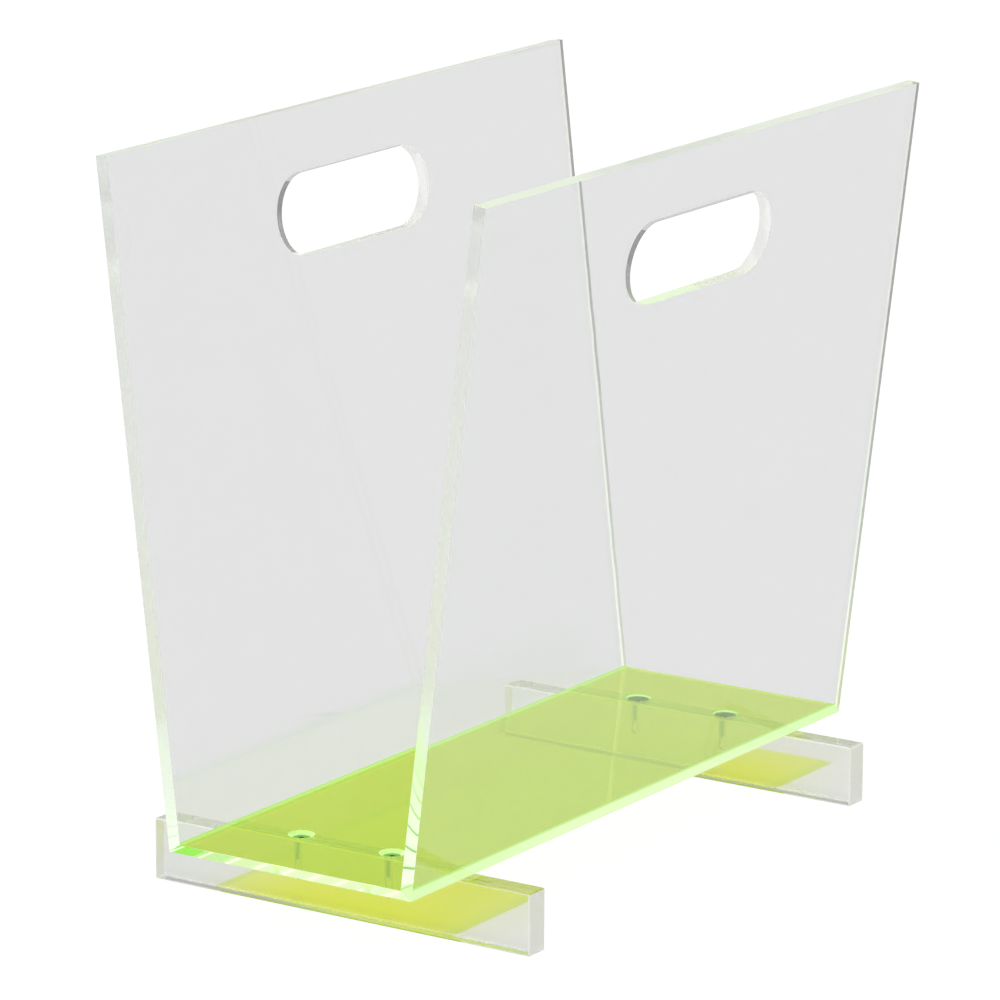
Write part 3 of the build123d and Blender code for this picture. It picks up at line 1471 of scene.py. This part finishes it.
@dataclass
class Studio:
    """Floor, surroundings, lamp and camera.

    Attributes:
        floor_size: Side of the square floor.
        card: Brightness of the floor's card.
        white: Strength of the white that the camera sees in place of most of the card.
        whiteness: Share of that white.
        lamp_place: Where the main lamp hangs.
        lamp_way: Direction in which the main lamp shines.
        lamp_power: Strength of the main lamp.
        lamp_angle: Apparent size of the main lamp, in degrees.
        fill: Strength of the even light from all around.
        mirrored: Strength of the surroundings in polished faces and metal.
        led: Strength of the surroundings where the sheets lead their light inside.
        bounces: Most turns of a ray in all, in glass and off polished faces.
        clear_bounces: Most clear surfaces that lamp light passes.
        azimuth: Camera's place round the rack, in degrees.
        elevation: Camera's height above the horizon, in degrees.
        roll: Turn of the camera about its own axis, in degrees.
        aim: Point that the camera looks at.
        distance: From that point to the camera.
        lens: Focal length, in millimetres.
        sensor: Width of the sensor, in millimetres.
        view_end: How far the camera sees.
    """

    floor_size: float = 14.0
    card: float = 0.835
    white: float = 1.05
    whiteness: float = 0.94
    lamp_place: Place = (-1.0, -0.2, 2.4)
    lamp_way: Place = (12.0, 7.5, -28.0)
    lamp_power: float = 1.95
    lamp_angle: float = 3.0
    fill: float = 0.38
    mirrored: float = 0.44
    led: float = 0.74
    bounces: int = 64
    clear_bounces: int = 24
    azimuth: float = -56.5548
    elevation: float = 13.9732
    roll: float = 0.307
    aim: Place = (0.0, 0.010064, 0.156416)
    distance: float = 2.7958
    lens: float = 225.06
    sensor: float = 36.0
    view_end: float = 50.0

    def floor_material(self) -> bpy.types.Material:
        """Makes the floor: white to the camera with a faint shadow, plain pale card to everything else.

        Returns:
            The material.
        """
        material = bpy.data.materials.new("pale_card")
        material.use_nodes = True
        graph = Graph(material.node_tree)
        card = graph.add("BsdfDiffuse", "", {"Color": (self.card,) * 3}).outputs["BSDF"]
        white = graph.add("Emission", "", {"Strength": self.white}).outputs["Emission"]
        seen = graph.add("LightPath").outputs["Is Camera Ray"]
        shown = graph.mix_shaders(seen, card, graph.mix_shaders(self.whiteness, card, white))
        graph.add("OutputMaterial", "", {"Surface": shown})
        return material

    def build_floor(self) -> None:
        """Adds the floor, level with the bottom of the feet."""
        bpy.ops.object.select_all(action="DESELECT")
        bpy.ops.mesh.primitive_plane_add(size=self.floor_size, location=(0, 0, 0))
        floor = bpy.context.object
        floor.name = "floor_card"
        with edit_mode(floor):
            bpy.ops.mesh.subdivide(number_cuts=3)
        floor.data.materials.append(self.floor_material())

    def build_world(self) -> None:
        """Sets the surroundings: white to the camera, grey in sheet and metal, and an even fill light."""
        world = bpy.data.worlds.new("studio_white")
        bpy.context.scene.world = world
        world.use_nodes = True
        graph = Graph(world.node_tree)
        path = graph.add("LightPath").outputs
        through = path["Is Transmission Ray"]
        led = graph.maths("MULTIPLY", through, graph.maths("GREATER_THAN", path["Glossy Depth"], LED_INSIDE))
        shown: Optional[Socket] = None
        for way, strength in ((None, self.fill), (path["Is Glossy Ray"], self.mirrored),
                              (through, self.mirrored), (led, self.led), (path["Is Camera Ray"], 1.0)):
            shade = graph.add("Background", "", {"Color": (1, 1, 1), "Strength": strength})
            level = shade.outputs["Background"]
            shown = graph.mix_shaders(way, shown, level) if shown else level
        graph.add("OutputWorld", "", {"Surface": shown})

    def build_lamp(self) -> None:
        """Adds the main lamp, high on the left."""
        bpy.ops.object.select_all(action="DESELECT")
        bpy.ops.object.light_add(type="SUN", location=self.lamp_place)
        lamp = bpy.context.object
        lamp.name = "main_lamp"
        lamp.rotation_euler = Vector(self.lamp_way).to_track_quat("-Z", "Y").to_euler()
        lamp.data.energy = self.lamp_power
        lamp.data.angle = radians(self.lamp_angle)
        lamp.visible_glossy = lamp.visible_transmission = False

    def build_camera(self) -> None:
        """Adds the camera and makes it the scene's."""
        turn, rise = radians(self.azimuth), radians(self.elevation)
        back = Vector((sin(turn) * cos(rise), -cos(turn) * cos(rise), sin(rise)))
        bpy.ops.object.camera_add(location=tuple(Vector(self.aim) + back * self.distance))
        camera = bpy.context.object
        camera.name = "rack_camera"
        camera.rotation_mode = "QUATERNION"
        camera.rotation_quaternion = back.to_track_quat("Z", "Y") @ Quaternion((0, 0, 1), radians(self.roll))
        camera.data.sensor_width = self.sensor
        camera.data.lens = self.lens
        camera.data.clip_end = self.view_end
        bpy.context.scene.camera = camera

    def build(self) -> None:
        """Builds the whole studio and sets how the picture is made."""
        scene = bpy.context.scene
        scene.view_settings.view_transform = "Standard"
        scene.cycles.max_bounces = scene.cycles.transmission_bounces = self.bounces
        scene.cycles.glossy_bounces = self.bounces
        scene.cycles.transparent_max_bounces = self.clear_bounces
        scene.cycles.caustics_reflective = scene.cycles.caustics_refractive = False
        self.build_floor()
        self.build_world()
        self.build_lamp()
        self.build_camera()


def main() -> None:
    """Builds the studio and every piece of the rack."""
    logging.basicConfig(level=logging.INFO, format="%(name)s: %(message)s")
    Studio().build()
    pieces: List[bpy.types.Object] = [BasePlate().build()]
    pieces += [Panel(side).build() for side in Side]
    pieces += Feet().build()
    pieces += Screws().build()
    for piece in pieces:
        log.info("%s: %d faces", piece.name, len(piece.data.polygons))


if __name__ == "__main__":
    main()
